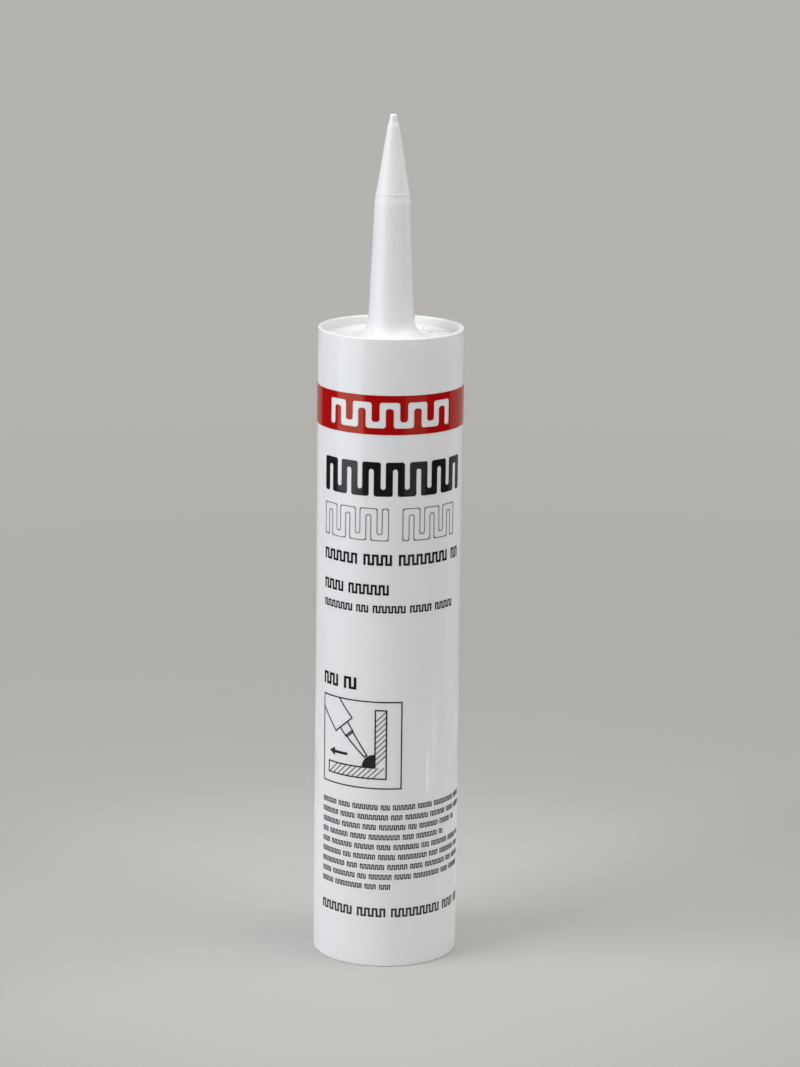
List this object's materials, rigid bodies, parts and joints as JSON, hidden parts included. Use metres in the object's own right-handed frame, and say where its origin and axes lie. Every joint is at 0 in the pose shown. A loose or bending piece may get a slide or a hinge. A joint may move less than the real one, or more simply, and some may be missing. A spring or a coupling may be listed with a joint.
{
  "type": "caulk tube",
  "caption": "White caulk tube with a tapered closed nozzle on a recessed end wall, a red band, and a sliding plunger in its open rear.",
  "frame": {"origin": "centre of the open rear end, on the plane that the tube stands on", "axes": "+Z along the tube to the nozzle tip; -Y to the printed front; +X to the right of someone who faces the front"},
  "size_m": [0.0489, 0.0489, 0.2866],
  "materials": {
    "white_moulding": "smooth, softly glossy moulded polyethylene",
    "plunger_moulding": "waxy, slightly dull moulded polyethylene",
    "sealant": "smooth white paste",
    "foil": "bright rolled foil",
    "red_ink": "glossy printed ink",
    "black_ink": "glossy printed ink",
    "grey_ink": "glossy printed ink, in fine lines"
  },
  "bodies": {
    "cartridge": {"cartridge": "white_moulding", "sealant": "sealant", "foil_seal": "foil", "printed_band": "red_ink", "printed_headline": "black_ink", "printed_outlines": "grey_ink", "printed_lines": "black_ink", "printed_paragraph": "black_ink", "printed_frame": "black_ink"},
    "plunger": {"plunger": "plunger_moulding"}
  },
  "joints": [
    {"name": "plunger_slide", "type": "slide", "parent": "cartridge", "child": "plunger", "axis": [0, 0, 1], "range_m": [0, 0.1785], "deforming": ["sealant"]}
  ]
}
